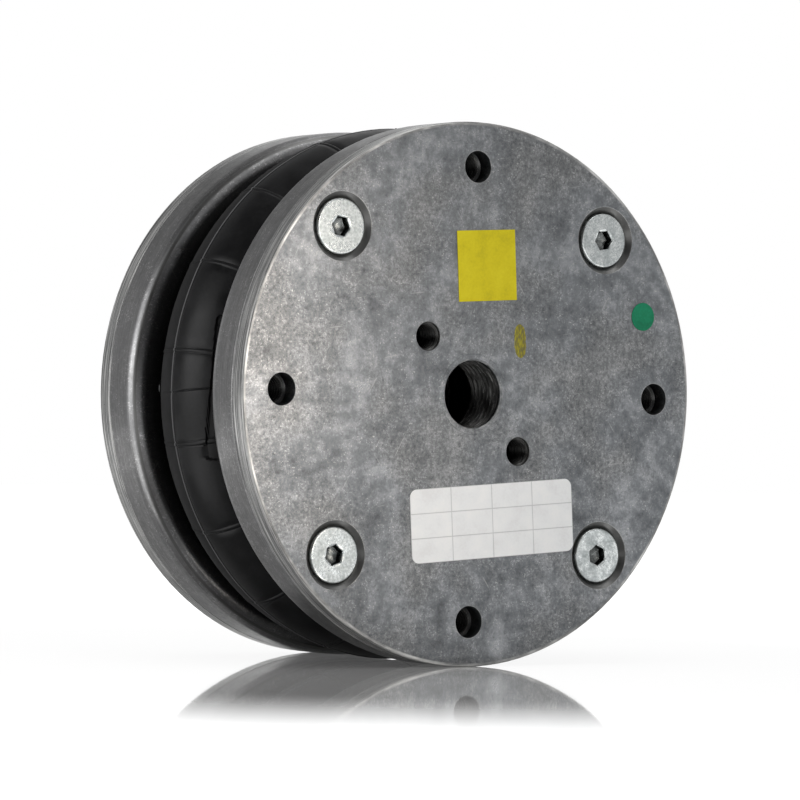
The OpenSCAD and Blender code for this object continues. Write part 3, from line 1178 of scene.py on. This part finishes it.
@dataclass
class Bellows:
    """The moulded wall of one convolution: a cover, two cord plies and a liner.

    The grid of the cover is closer at each fine mark: a mark's reach is how far its own samples go
    to either side, and that of a line is in widths of the line.
    """

    sizes: FrameSizes
    cover_t: float = 1.2 * MM
    ply_t: float = 0.5 * MM
    liner_t: float = 1.2 * MM
    bond_gap: float = 0.02 * MM
    bead_gap: float = 0.25 * MM
    crown_t: float = 0.5 * MM
    lip_r: float = 5 * MM
    line_psi: float = 2.0
    line_h: float = 0.18 * MM
    line_w: float = 0.24 * MM
    vent_count: int = 18
    vent_start: float = 12.0
    vent_h: float = 0.14 * MM
    vent_w: float = 0.42 * MM
    vent_groove: float = 0.14 * MM
    groove_at: float = 1.5
    groove_w: float = 0.35
    vent_fade: tuple[float, float] = (2.2, 0.5)
    split_at: float = 181.0
    split_lean: float = -0.024
    split_w: float = 0.2 * MM
    split_depth: float = 0.25 * MM
    pocket_depth: float = 0.7 * MM
    pocket_w: float = 10 * MM
    pocket_l: float = 40 * MM
    pocket_r: float = 1.5 * MM
    pocket_slope: float = 54.0
    pocket_at: float = 180.0
    pocket_turn: float = 3.7
    pocket_wall: float = 0.3 * MM
    pocket_end_share: float = 0.8
    wave_h: float = 0.02 * MM
    wave_turns: Sequence[tuple[int, int, int]] = ((5, 3, 0), (11, -5, 1), (19, 8, 2))
    columns: int = 168
    rows: int = 53
    wire_columns: int = 128
    vent_reach: float = 2.2
    vent_samples: int = 11
    split_reach: float = 4.5
    split_samples: int = 15
    split_shift: float = 0.5
    line_reach: float = 4.0
    line_samples: int = 15
    end_reach: float = 3 * MM
    end_samples: int = 17
    edge_reach: float = 2 * MM
    edge_samples: tuple[int, int] = (26, 14)
    wall: float = field(init=False)
    middle: float = field(init=False)
    throat_r: float = field(init=False)
    bead_out_r: float = field(init=False)
    crown_z: float = field(init=False)
    lip_x: float = field(init=False)
    lip_z: float = field(init=False)
    half_w: float = field(init=False)
    half_h: float = field(init=False)

    def __post_init__(self) -> None:
        """Works out the places that the section's curves share."""
        sizes = self.sizes
        self.wall = self.cover_t + 2 * self.ply_t + self.liner_t
        self.middle = sizes.height / 2
        self.throat_r = sizes.bead_r - sizes.wire_r
        self.bead_out_r = sizes.bead_r + sizes.wire_r + self.wall
        self.crown_z = sizes.bead_z + sizes.wire_r + self.crown_t
        self.lip_x = self.throat_r + self.lip_r
        self.lip_z = sizes.stack_t + self.bead_gap - self.lip_r
        self.half_w = sizes.bulge_r - self.lip_x
        self.half_h = self.middle - sizes.stack_t - self.bead_gap

    def bulge(self, depth: float, psi: Array) -> Array:
        """Ellipse of the convolution at a depth below the outer surface.

        Args:
            depth: Depth in metres.
            psi: Angles from the middle of the bulge, positive towards the port.

        Returns:
            Radius and place along the axis, one row for each angle.
        """
        radius = self.lip_x + (self.half_w - depth) * np.cos(psi)
        return np.stack([radius, self.middle - (self.half_h - depth) * np.sin(psi)], axis=-1)

    def turn(
        self, centre: tuple[float, float], radius: float, start: float, stop: float, count: int
    ) -> Array:
        """Arc of a circle in the section, from a start to a stop angle in degrees."""
        angle = np.radians(np.linspace(start, stop, count))
        return np.array(centre) + radius * np.stack([np.cos(angle), np.sin(angle)], axis=-1)

    def mirrored(self, half: Array) -> Array:
        """The other half of a section, mirrored about the middle of the bellows and run backwards."""
        return np.stack([half[::-1, 0], self.sizes.height - half[::-1, 1]], axis=-1)

    def layer_path(self, depth: float) -> Array:
        """Section of a layer's surface: up round the bead, over the lip and round the bulge.

        Args:
            depth: Depth below the outer surface.

        Returns:
            Radius and place along the axis, one row for each point.
        """
        sizes = self.sizes
        half = np.concatenate([
            self.turn((sizes.bead_r, sizes.bead_z), sizes.wire_r + depth, start=0, stop=-180, count=13),
            self.turn((self.lip_x, self.lip_z), self.lip_r + depth, start=180, stop=94, count=8),
            self.bulge(depth, np.radians(np.linspace(90, 6, 15))),
        ])
        equator = self.bulge(depth, np.zeros(1))
        return np.concatenate([half, equator, self.mirrored(half)])

    def revolved(self, path: Array, angle: Array) -> Skin:
        """Carries a closed section round the axis.

        Args:
            path: Radius and place along the axis, one row for each point of the section.
            angle: Angles round the axis.

        Returns:
            The closed skin.
        """
        return Skin.round_axis(path[:, :1], path[:, 1:], angle)

    def vents(self) -> Array:
        """Angles of the vent lines in radians, in equal steps round the axis."""
        return np.radians(self.vent_start + 360 / self.vent_count * np.arange(self.vent_count))

    def pocket(self, psi: Array, angle: Array) -> Array:
        """Distance inside the outline of the pocket, less than 0 outside it.

        A place on the flank is taken along the two axes of a rectangle that stands square on the
        flank. What it lies past the corner's centre gives its distance from a rounded corner.

        Args:
            psi: Angles from the middle of the bulge, as a column.
            angle: Angles round the axis, as a row.

        Returns:
            Distances in metres, on the grid of both.
        """
        slope, at, turn = np.radians([self.pocket_slope, self.pocket_at, self.pocket_turn])
        facing = np.arctan2(np.sin(slope) / self.half_h, np.cos(slope) / self.half_w)
        radius = self.lip_x + self.half_w * np.cos(psi)
        outwards = radius * np.cos(angle - at) - self.lip_x - self.half_w * np.cos(slope)
        inwards = self.half_h * (np.sin(slope) - np.sin(psi))
        up = -np.sin(facing) * outwards - np.cos(facing) * inwards
        along = radius * np.sin(angle - at)
        across = np.abs(up * np.cos(turn) + along * np.sin(turn)) - self.pocket_w / 2 + self.pocket_r
        length = np.abs(along * np.cos(turn) - up * np.sin(turn)) - self.pocket_l / 2 + self.pocket_r
        corner = np.hypot(np.maximum(across, 0), np.maximum(length, 0))
        return self.pocket_r - corner - np.minimum(np.maximum(across, length), 0)

    def relief(self, psi: Array, angle: Array) -> Array:
        """Height of the moulded marks above the smooth bulge.

        The mould line is a bell curve over the arc, with a groove of the same form beside it. A vent
        line is a flat ridge, the fourth power in a bell curve, between two fine grooves, and fades
        towards the lips. The mould's split is one more groove, which leans, and the pocket a smooth
        step down along its outline. A few long waves of less than a tenth of a millimetre keep the
        skin from looking turned.

        Args:
            psi: Angles from the middle of the bulge, as a column.
            angle: Angles round the axis, as a row.

        Returns:
            Heights in metres, on the grid of both.
        """
        arc = self.half_h * (psi - math.radians(self.line_psi)) / self.line_w
        line = self.line_h * (np.exp(-(arc ** 2)) - np.exp(-((arc - 2) ** 2)))
        radius = self.lip_x + self.half_w * np.cos(psi)
        gain, loss = self.vent_fade
        fade = np.clip(np.cos(psi) * gain - loss, 0, 1)
        turn = np.angle(np.exp(1j * (angle[..., None] - self.vents())))
        nearest = np.min(np.abs(turn), axis=-1) * radius
        beside = (nearest - self.groove_at * self.vent_w) / (self.groove_w * self.vent_w)
        ridge = self.vent_h * np.exp(-((nearest / self.vent_w) ** 4))
        vent = ridge - self.vent_groove * np.exp(-(beside ** 2))
        off_split = (angle - math.radians(self.split_at) - self.split_lean * psi) * radius / self.split_w
        split = self.split_depth * np.exp(-(off_split ** 2))
        step = np.clip(self.pocket(psi, angle) / self.pocket_wall, 0, 1)
        sink_shade = self.pocket_depth * step * step * (3 - 2 * step)
        waves = sum(np.sin(turns * angle + lean * psi + start) for turns, lean, start in self.wave_turns)
        return line + fade * (vent - split) - sink_shade + self.wave_h * fade * waves

    def close_to(self, spread: Array, places: Array, reach: float, count: int) -> Array:
        """Adds samples close to some places, so that fine marks there get enough points.

        Args:
            spread: Samples that are spread evenly.
            places: Places of the marks.
            reach: How far the close samples reach to either side.
            count: Number of close samples for each place.

        Returns:
            All samples in order.
        """
        close = places[:, None] + np.linspace(-reach, reach, count)[None, :]
        return np.unique(np.round(np.concatenate([spread, close.ravel()]), 6))

    def columns_round(self) -> Array:
        """Angles round the axis, closer at the vent lines, the split and the ends of the pocket.

        Returns:
            Angles as a row.
        """
        bulge_r = self.sizes.bulge_r
        half = self.pocket_end_share * self.pocket_l / 2 / self.lip_x
        split = np.radians([self.split_at - self.split_shift])
        ends = math.radians(self.pocket_at) + np.array([-half, half])
        angle = around(self.columns)[0]
        for places, reach, count in (
            (self.vents(), self.vent_reach * self.vent_w, self.vent_samples),
            (split, self.split_reach * self.split_w, self.split_samples),
            (ends, self.end_reach, self.end_samples),
        ):
            angle = self.close_to(angle, places, reach / bulge_r, count)
        return angle[None, :]

    def rows_across(self) -> Array:
        """Angles over the bulge, closer at the mould line and at the long edges of the pocket.

        Returns:
            Angles from the port side to the blank side.
        """
        slope, line = np.radians([[self.pocket_slope], [self.line_psi]])
        half = self.pocket_w / 2 / self.half_h
        low_samples, high_samples = self.edge_samples
        psi = np.radians(np.linspace(-90, 90, self.rows))
        for places, reach, count in (
            (line, self.line_reach * self.line_w, self.line_samples),
            (slope - half, self.edge_reach, low_samples),
            (slope + half, self.edge_reach, high_samples),
        ):
            psi = self.close_to(psi, places, reach / self.half_h, count)
        return psi[::-1]

    def cover(self) -> bpy.types.Object:
        """Builds the cover, with the moulded marks on its outer surface and a cavity for each wire.

        Returns:
            The cover's piece.
        """
        sizes = self.sizes
        angle = self.columns_round()
        psi = self.rows_across()
        crown = np.array([
            (self.bead_out_r, sizes.bead_z),
            (self.bead_out_r, self.crown_z),
            (self.throat_r, min(self.crown_z, self.lip_z)),
        ])
        over = self.turn((self.lip_x, self.lip_z), self.lip_r, start=178, stop=94, count=12)
        lip = np.concatenate([crown, over])
        smooth = np.concatenate([lip, self.bulge(0, psi), self.mirrored(lip)])
        normal = np.stack([np.cos(psi) / self.half_w, -np.sin(psi) / self.half_h], axis=-1)
        normal = normal / np.linalg.norm(normal, axis=-1, keepdims=True)
        height = self.relief(psi[:, None], angle)
        back = self.layer_path(self.cover_t)[::-1]
        path = np.concatenate([smooth, back])
        radius = np.repeat(path[:, :1], angle.shape[1], axis=1)
        along = np.repeat(path[:, 1:], angle.shape[1], axis=1)
        moulded = slice(len(lip), len(lip) + len(psi))
        radius[moulded] += normal[:, :1] * height
        along[moulded] += normal[:, 1:] * height
        skins = [Skin.round_axis(radius, along, angle)]

        wire_r = sizes.wire_r + self.bond_gap
        wire = self.turn((sizes.bead_r, sizes.bead_z), wire_r, start=0, stop=348, count=30)
        for cavity in (wire, self.mirrored(wire)):
            skins.append(self.revolved(cavity, around(self.wire_columns)).turned(outwards=False))
        return dressed(joined(skins), "moulded_cover", RUBBER, "rubber")

    def layer(self, name: str, top: float, bottom: float, finish: Finish, slot: str) -> bpy.types.Object:
        """Builds one inner layer between two depths below the outer surface.

        Args:
            name: Name of the piece.
            top: Depth of its outer side.
            bottom: Depth of its inner side.
            finish: Finish of the layer.
            slot: Slot of the record that the finish stands for.

        Returns:
            The layer's piece.
        """
        path = np.concatenate([self.layer_path(top), self.layer_path(bottom)[::-1]])
        return dressed(self.revolved(path, around(self.columns)), name, finish, slot)

    def build(self) -> list[bpy.types.Object]:
        """Builds the four layers, each stretched between the two bead rings.

        Returns:
            The layers from the outside in.
        """
        ply = self.cover_t + self.ply_t
        liner = ply + self.ply_t
        gap = self.bond_gap
        layers = {
            "bellows_cover": self.cover(),
            "outer_ply": self.layer("outer_cord_ply", self.cover_t + gap, ply, CORD_PLY, "cord_ply"),
            "inner_ply": self.layer("inner_cord_ply", ply + gap, liner, CORD_PLY, "cord_ply"),
            "liner": self.layer("airtight_liner", liner + gap, self.wall, LINER_RUBBER, "liner"),
        }
        for node, piece in layers.items():
            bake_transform(piece)
            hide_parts(node)
        return list(layers.values())


# Labels and paint


@dataclass
class Labels:
    """Blank labels, the round sticker and the dab of paint on the port plate."""

    rating_turn: float = 4.0
    rating_size: tuple[float, float] = (55.5 * MM, 20.6 * MM)
    dab_lean: float = 0.06
    dab_lobes: Sequence[tuple[int, float]] = ((6, 0.03), (14, 0.02))
    dab_streaks: tuple[float, float] = (7.0, 2.0)
    streak_depth: float = 0.25
    dab_columns: int = 72
    dab_rows: int = 14

    def film(self, node: str) -> PrintedFilm:
        """Finish of one of the two rectangular labels, centred on its node.

        Args:
            node: Name of the label's node.

        Returns:
            The yellow finish for the square label, and the ruled white one for the other.
        """
        low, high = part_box(node)
        gloss = {"roughness": (0.34, 0.5), "specular": 0.2}
        if node == "square_label":
            return PrintedFilm("yellow_polyester_film", "#c2b408", "#cfc009", "#d7c917", **gloss)
        return PrintedFilm(
            "white_polyester_film", "#ececec", "#f2f3f3", "#f7f7f6", **gloss,
            centre=((low.x + high.x) / 2, (low.z + high.z) / 2), size=self.rating_size,
            turn=math.radians(self.rating_turn), ruling=Ruling.BOXES,
        )

    def dab(self) -> bpy.types.Object:
        """Builds the dab of paint in the box of its node.

        In polar form about the middle of the box, the outline is a rounded oblong, the root of
        the sum of third powers, with a few shallow lobes, and leans. The height is that of the box
        times one less the sixth power of the share of the way out, uneven along the stroke, and a
        flat underside closes it.

        Returns:
            The dab's piece.
        """
        low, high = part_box("paint_mark")
        angle = around(self.dab_columns)
        share = np.linspace(0, 1, self.dab_rows)[:, None]
        half_w, half_h = (high.x - low.x) / 2, (high.z - low.z) / 2
        reach = (np.abs(np.cos(angle) / half_w) ** 3 + np.abs(np.sin(angle) / half_h) ** 3) ** (-1 / 3)
        ragged = 1.0
        for count, depth in self.dab_lobes:
            ragged = ragged - depth * (1 + np.cos(count * angle))
        out = share * reach * ragged
        up = out * np.sin(angle)
        across = out * np.cos(angle) - self.dab_lean * up
        beside, along = self.dab_streaks
        streaks = np.sin(across / half_w * beside + 1) * np.cos(up / half_h * along)
        uneven = 1 - self.streak_depth + self.streak_depth * streaks
        height = (high.y - low.y) * (1 - share ** 6) * uneven
        both = {
            "x": np.concatenate([across, across[::-1]]) + (low.x + high.x) / 2,
            "y": high.y - np.concatenate([height, 0 * height]),
            "z": np.concatenate([up, up[::-1]]) + (low.z + high.z) / 2,
        }
        piece = dressed(Skin.closed(**both, loop=False), "paint_dab", PAINT, "paint_mark")
        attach(piece, End.PORT.value)
        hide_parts("paint_mark")
        return piece

    def build(self) -> list[bpy.types.Object]:
        """Dresses the labels and makes the dab."""
        films = [dress(node, self.film(node)) for node in ("rating_label", "square_label")]
        return films + [dress("round_sticker", GREEN_PAPER), self.dab()]


# Studio


@dataclass
class Studio:
    """Camera, lamps, world and floor."""

    sizes: FrameSizes
    camera_at: Place = (-0.66019, -0.93152, -0.01158)
    yaw: float = 34.30
    pitch: float = 0.48
    roll: float = 1.21
    focal_px: float = 4093.6
    image_px: float = 800.0
    sensor: float = 36.0
    floor_half: float = 3.0
    floor_glow: float = 0.55
    mirror_share: float = 0.9
    mirror_near: float = 0.16
    mirror_far: float = 0.34
    mirror_rough: float = 0.03
    glance_rise: Rise = (0.72, 0.9, 1.0)
    world_light: float = 0.55

    def camera(self) -> None:
        """Sets the camera where the photograph was taken from, turned by yaw, pitch and roll."""
        data = bpy.data.cameras.new("photo_camera")
        data.sensor_width = self.sensor
        data.lens = self.focal_px * self.sensor / self.image_px
        data.clip_start = 0.01
        camera = bpy.data.objects.new("photo_camera", data)
        camera.matrix_world = (
            Matrix.Translation(self.camera_at)
            @ Matrix.Rotation(math.radians(-self.yaw), 4, "Z")
            @ Matrix.Rotation(math.radians(90 + self.pitch), 4, "X")
            @ Matrix.Rotation(math.radians(self.roll), 4, "Z")
        )
        bpy.context.scene.collection.objects.link(camera)
        bpy.context.scene.camera = camera

    def lamp(
        self,
        name: str,
        at: Place,
        size: tuple[float, float],
        power: float,
        tint: str = "#ffffff",
        target: Place | None = None,
        spread: float = 180.0,
    ) -> None:
        """Hangs a soft lamp that points at the middle of the actuator or at another target.

        Args:
            name: Name of the lamp.
            at: Place of the lamp.
            size: Width and height of its face.
            power: Power in watts.
            tint: Colour of its light.
            target: What it points at, if not the middle of the actuator.
            spread: Angle of its beam in degrees.
        """
        data = bpy.data.lights.new(name, "AREA")
        data.shape = "RECTANGLE"
        data.size, data.size_y = size
        data.energy = power
        data.color = linear(tint)[:3]
        data.spread = math.radians(spread)
        lamp = bpy.data.objects.new(name, data)
        aim = Vector(target or (0, self.sizes.height / 2, 0)) - Vector(at)
        lamp.visible_camera = False
        lamp.matrix_world = Matrix.Translation(at) @ aim.to_track_quat("-Z", "Y").to_matrix().to_4x4()
        bpy.context.scene.collection.objects.link(lamp)

    def sheet(self, name: str, finish: str, size: tuple[float, float], place: Matrix) -> Graph:
        """Puts up a flat sheet with an empty material, which is no piece of the actuator.

        Args:
            name: Name of the sheet.
            finish: Name of its material.
            size: Width and height.
            place: Place and turn of its middle.

        Returns:
            The graph of its material.
        """
        corners = np.array([(-1, -1, 0), (1, -1, 0), (1, 1, 0), (-1, 1, 0)]) * (*size, 0) / 2
        mesh = bpy.data.meshes.new(name)
        mesh.from_pydata(corners, [], [(0, 1, 2, 3)])
        mesh.transform(place)
        material = bpy.data.materials.new(finish)
        material.use_nodes = True
        material.node_tree.nodes.clear()
        mesh.materials.append(material)
        sheet = bpy.data.objects.new(name, mesh)
        bpy.context.scene.collection.objects.link(sheet)
        return Graph(material.node_tree)

    def card(
        self, name: str, at: Place, size: tuple[float, float], tone: str, lying: bool = False
    ) -> None:
        """Puts up a dull card that only shows in reflections, as a photographer's flag does.

        Args:
            name: Name of the card.
            at: Place of its middle.
            size: Width and height.
            tone: Colour of the card.
            lying: Whether it lies on the floor instead of facing the actuator.
        """
        aim = Vector((0, 0, 1)) if lying else Vector((0, self.sizes.height / 2, 0)) - Vector(at)
        place = Matrix.Translation(at) @ aim.to_track_quat("Z", "Y").to_matrix().to_4x4()
        graph = self.sheet(name, name, size, place)
        for ray in ("camera", "diffuse", "shadow", "transmission", "volume_scatter"):
            setattr(bpy.data.objects[name], "visible_" + ray, False)
        glow = graph.add("Emission", {"Color": linear(tone)})
        graph.add("OutputMaterial", {"Surface": glow})

    def seen(self, graph: Graph) -> Socket:
        """Tells rays from the camera, a mirror or a glass from all others.

        Args:
            graph: Tree that the nodes are added to.

        Returns:
            1 for those rays and 0 for the rest.
        """
        add = graph.add
        seen = add("LightPath", out="Is Camera Ray")
        for ray in ("Is Glossy Ray", "Is Transmission Ray"):
            seen = add("Math", {0: seen, 1: add("LightPath", out=ray)}, operation="MAXIMUM")
        return seen

    def world(self) -> None:
        """Makes the backdrop white where it is seen, and a plain soft light elsewhere."""
        world = bpy.data.worlds.new("white_studio")
        world.use_nodes = True
        world.node_tree.nodes.clear()
        graph = Graph(world.node_tree)
        strength = graph.add("MapRange", {"Value": self.seen(graph), 3: self.world_light, 4: 1.0})
        light = graph.add("Background", {"Color": linear("#ffffff"), "Strength": strength})
        graph.add("OutputWorld", {"Surface": light})
        bpy.context.scene.world = world

    def floor(self) -> None:
        """Lays a white floor that mirrors the actuator close by and at a glance, as lacquer does."""
        level = -self.sizes.flange_r
        size = (2 * self.floor_half, 2 * self.floor_half)
        graph = self.sheet("studio_floor", "glossy_white_table", size, Matrix.Translation((0, 0, level)))
        add = graph.add
        glow = add("Math", {0: self.seen(graph), 1: self.floor_glow}, operation="MULTIPLY")
        white = add("BsdfDiffuse", {"Color": linear("#f2f2f2")})
        lifted = add("AddShader", {0: white, 1: add("Emission", {"Strength": glow})})
        place = add("TexCoord", out="Object")
        middle = add("VectorMath", {0: place, 1: (0, self.sizes.height / 2, level)}, operation="SUBTRACT")
        away = add("VectorMath", {0: middle}, out="Value", operation="LENGTH")
        fade = {"Value": away, 1: self.mirror_near, 2: self.mirror_far, 3: self.mirror_share, 4: 0.0}
        share = add("MapRange", fade, interpolation_type="SMOOTHSTEP")
        facing = add("LayerWeight", {"Blend": 0.5}, out="Facing")
        glance = add("MapRange", rising(facing, self.glance_rise))
        bounced = add("Math", {0: 1.0, 1: add("LightPath", out="Is Camera Ray")}, operation="SUBTRACT")
        glance = add("Math", {0: glance, 1: bounced}, operation="MAXIMUM")
        share = add("Math", {0: share, 1: glance}, operation="MULTIPLY")
        mirror = add("BsdfGlossy", {"Color": linear("#fafafa"), "Roughness": self.mirror_rough})
        add("OutputMaterial", {"Surface": add("MixShader", {0: share, 1: lifted, 2: mirror})})

    def build(self) -> None:
        """Sets up the camera, the light and the floor."""
        bpy.context.scene.view_settings.view_transform = "Standard"
        self.camera()
        self.world()
        self.floor()
        self.lamp("left_softbox", (-1.0, 0.10, 0.15), (0.65, 0.7), 4.3)
        self.lamp("top_softbox", (-0.1, -0.1, 1.2), (1.2, 1.0), 7.0)
        self.lamp(
            "front_softbox", (0.03, -0.27, 0.025), (0.08, 0.12), 0.042, "#fff5ea",
            target=(-0.12, 0.0, 0.0), spread=66.0,
        )
        self.card("camera_side_flag", (-1.1, -1.35, 0.3), (2.5, 2.2), "#202020")
        self.card("left_flag", (-0.92, 0.96, 0.5), (1.05, 2.0), "#a9a9a9")
        self.card("back_flag", (0.05, 1.54, 1.2), (1.4, 1.7), "#a0a0a0")
        self.card("floor_flag", (-1.0, 1.35, -0.07), (1.9, 2.0), "#a0a0a0", lying=True)
        self.card("top_flag", (-0.35, 0.0, 1.05), (1.3, 1.3), "#606060")
        self.card("front_right_flag", (0.95, -1.15, 0.3), (1.8, 2.2), "#c8c8c8")


def main() -> None:
    """Builds the studio and the actuator's sub-assemblies, and reports each piece."""
    logging.basicConfig(level=logging.INFO, format="%(message)s")
    Studio(SIZES).build()
    bolts = on_circle(SIZES.bolt_r, [90 * at for at in range(SIZES.bolt_count)])
    m8 = {"major_r": SIZES.tie_r, "pitch": 1.25 * MM}
    ring = {"start": SIZES.plate_t + 0.6 * MM, "stop": SIZES.stack_t - 0.3 * MM, "slot": "bead_ring", **m8}
    plate = {"sizes": SIZES, "end": End.PORT, "slot": "cast_plate"}
    assemblies = [
        EndCasting(End.PORT),
        EndCasting(End.BLANK),
        TappedHoles(
            "air_port_thread", places=[(0.0, 0.0)], major_r=SIZES.port_r, pitch=25.4 / 14 * MM,
            start=1.0 * MM, stop=15 * MM, mouth=0.8 * MM, lip_r=10.0 * MM, drilled=True, columns=120, **plate,
        ),
        TappedHoles(
            "tie_hole_threads", places=on_circle(SIZES.tie_at, [135, 315]),
            start=0.6 * MM, stop=10 * MM, mouth=0.5 * MM, lip_r=4.1 * MM, **plate, **m8,
        ),
        *(TappedHoles(end.node("ring_threads"), SIZES, end, bolts, **ring) for end in End),
        ClampScrews(SIZES, End.PORT, turns=(6.0, 52.0, 19.0, 37.0)),
        ClampScrews(SIZES, End.BLANK, turns=(41.0, 11.0, 28.0, 3.0)),
        Bellows(SIZES),
        Labels(),
    ]
    for assembly in assemblies:
        for piece in assembly.build():
            log.info("%s: %d faces", piece.name, len(piece.data.polygons))


if __name__ == "__main__":
    main()
